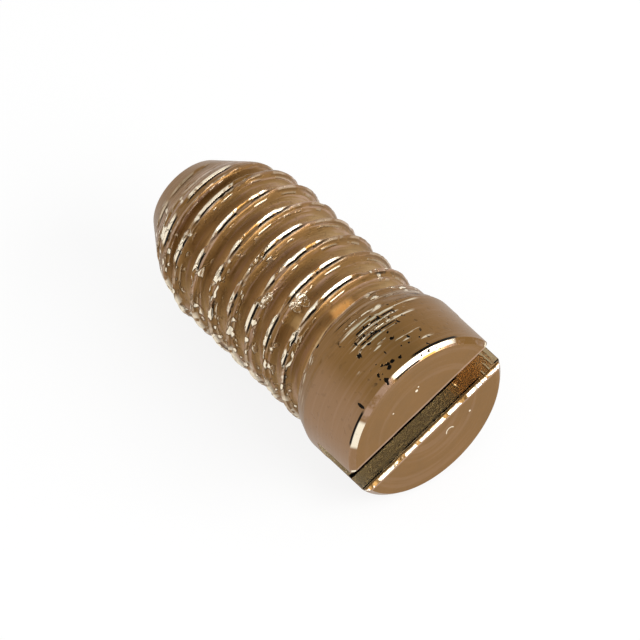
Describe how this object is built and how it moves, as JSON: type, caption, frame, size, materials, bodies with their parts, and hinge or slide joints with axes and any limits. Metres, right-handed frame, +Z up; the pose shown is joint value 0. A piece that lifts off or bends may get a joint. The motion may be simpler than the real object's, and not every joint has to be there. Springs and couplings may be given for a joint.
{
  "type": "clamping screw",
  "caption": "Short slotted brass clamping screw with a flat cone point, a V thread and a cylindrical head slightly wider than the thread.",
  "frame": {"origin": "centre of the flat end of the clamping tip, on the thread axis", "axes": "+X along the thread axis from the clamping tip to the slotted head; +Z up, with the screw lying on its side; the driver slot is turned 24 degrees from +Y towards +Z"},
  "size_m": [0.0105, 0.0052, 0.0052],
  "materials": {
    "brass": "turned brass, tarnished brown, with bright burnished edges and fine turning lines"
  },
  "bodies": {
    "root": {"clamping_screw": "brass"}
  },
  "joints": []
}
